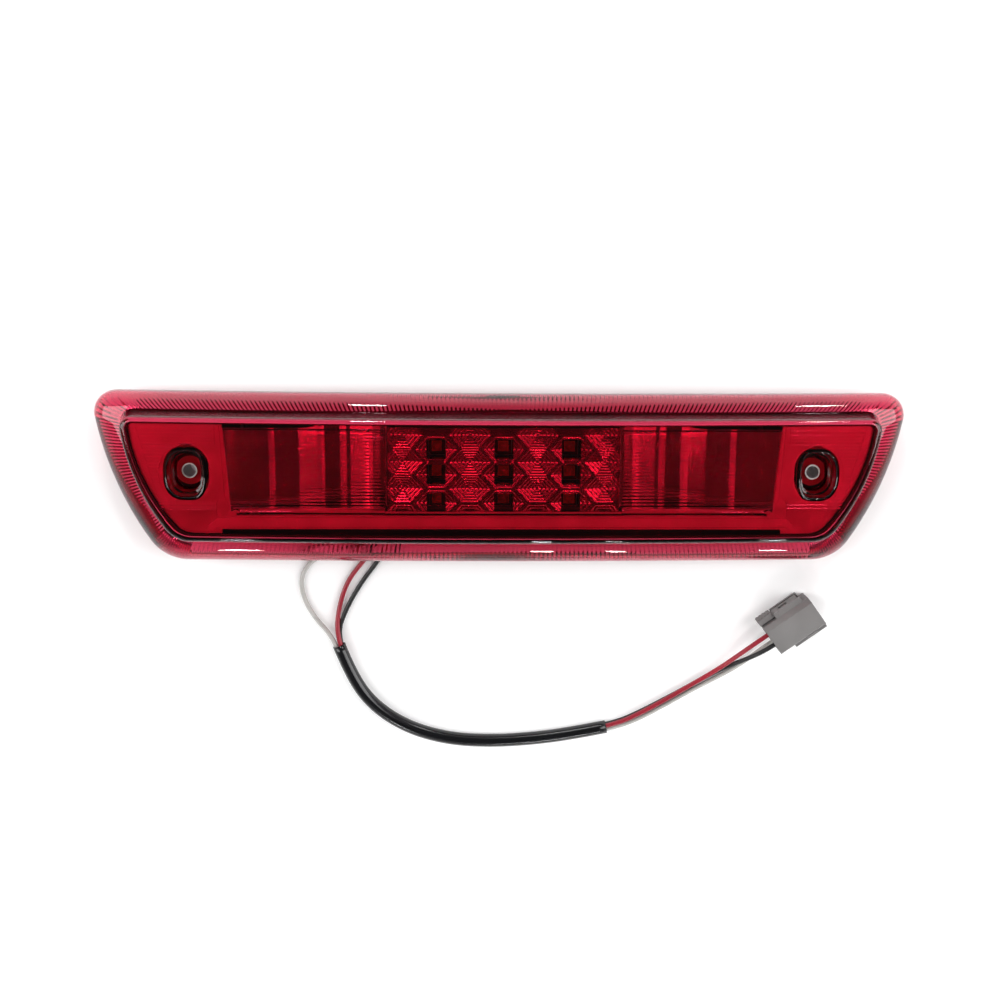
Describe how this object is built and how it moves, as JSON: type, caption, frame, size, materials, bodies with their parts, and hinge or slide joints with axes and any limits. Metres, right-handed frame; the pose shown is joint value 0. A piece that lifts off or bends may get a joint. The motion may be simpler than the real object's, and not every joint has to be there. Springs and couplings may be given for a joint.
{
  "type": "third brake light",
  "caption": "High-mounted stop lamp: trapezoid red lens with fluted skirt and two screw wells, stepped reflectors and LEDs on a board inside, and a short lead to a square connector.",
  "frame": {"origin": "on the surface that the lamp lies on, under the middle of the lamp without its lead", "axes": "+X along the lamp's length, +Y towards its wide long edge, +Z out of the lens; the lead leaves towards -Y"},
  "size_m": [0.3672, 0.1735, 0.035],
  "materials": {
    "red_lens": "polished red acrylic",
    "housing_black": "moulded black",
    "seal_rubber": "matt black rubber",
    "gasket_foam": "closed-cell foam",
    "plated_steel": "zinc plated",
    "board_laminate": "white solder mask",
    "led_body": "moulded epoxy",
    "led_window": "clear red epoxy",
    "tinned_metal": "tinned",
    "component_black": "moulded",
    "metallised": "vacuum metallised",
    "sleeving_black": "glossy soft PVC",
    "wire_white": "soft PVC",
    "wire_red": "soft PVC",
    "wire_black": "soft PVC",
    "connector_grey": "moulded nylon",
    "lock_grey": "moulded nylon"
  },
  "bodies": {
    "lamp": {"outer_lens": "red_lens", "rear_housing": "housing_black", "lens_seal": "seal_rubber", "gasket": "gasket_foam", "vent_cap": "seal_rubber", "wire_grommet": "seal_rubber", "well_seal_left": "seal_rubber", "well_seal_right": "seal_rubber", "screw_sleeve_left": "plated_steel", "screw_sleeve_right": "plated_steel", "circuit_board": "board_laminate", "led_bodies": "led_body", "led_windows": "led_window", "led_pins": "tinned_metal", "resistors": "component_black", "blocking_diode": "component_black", "solder_joints": "tinned_metal", "board_screws": "plated_steel", "led_reflector": "metallised", "side_reflector_left": "metallised", "side_reflector_right": "metallised", "reflector_bezel": "metallised", "wire_sleeving": "sleeving_black", "white_wire": "wire_white", "red_wire": "wire_red", "black_wire": "wire_black", "connector_housing": "connector_grey", "terminals": "tinned_metal"},
    "latch": {"connector_latch": "connector_grey"},
    "lock": {"connector_lock": "lock_grey"}
  },
  "joints": [
    {"name": "latch_rock", "type": "hinge", "parent": "lamp", "child": "latch", "pos_m": [0.13112, -0.06624, 0.005], "axis": [0, 0, 1], "range_deg": [0, 4], "stiffness_Nm_per_rad": 0.5},
    {"name": "lock_slide", "type": "slide", "parent": "lamp", "child": "lock", "axis": [0.5878, -0.809, 0], "range_m": [0, 0.0015]}
  ]
}
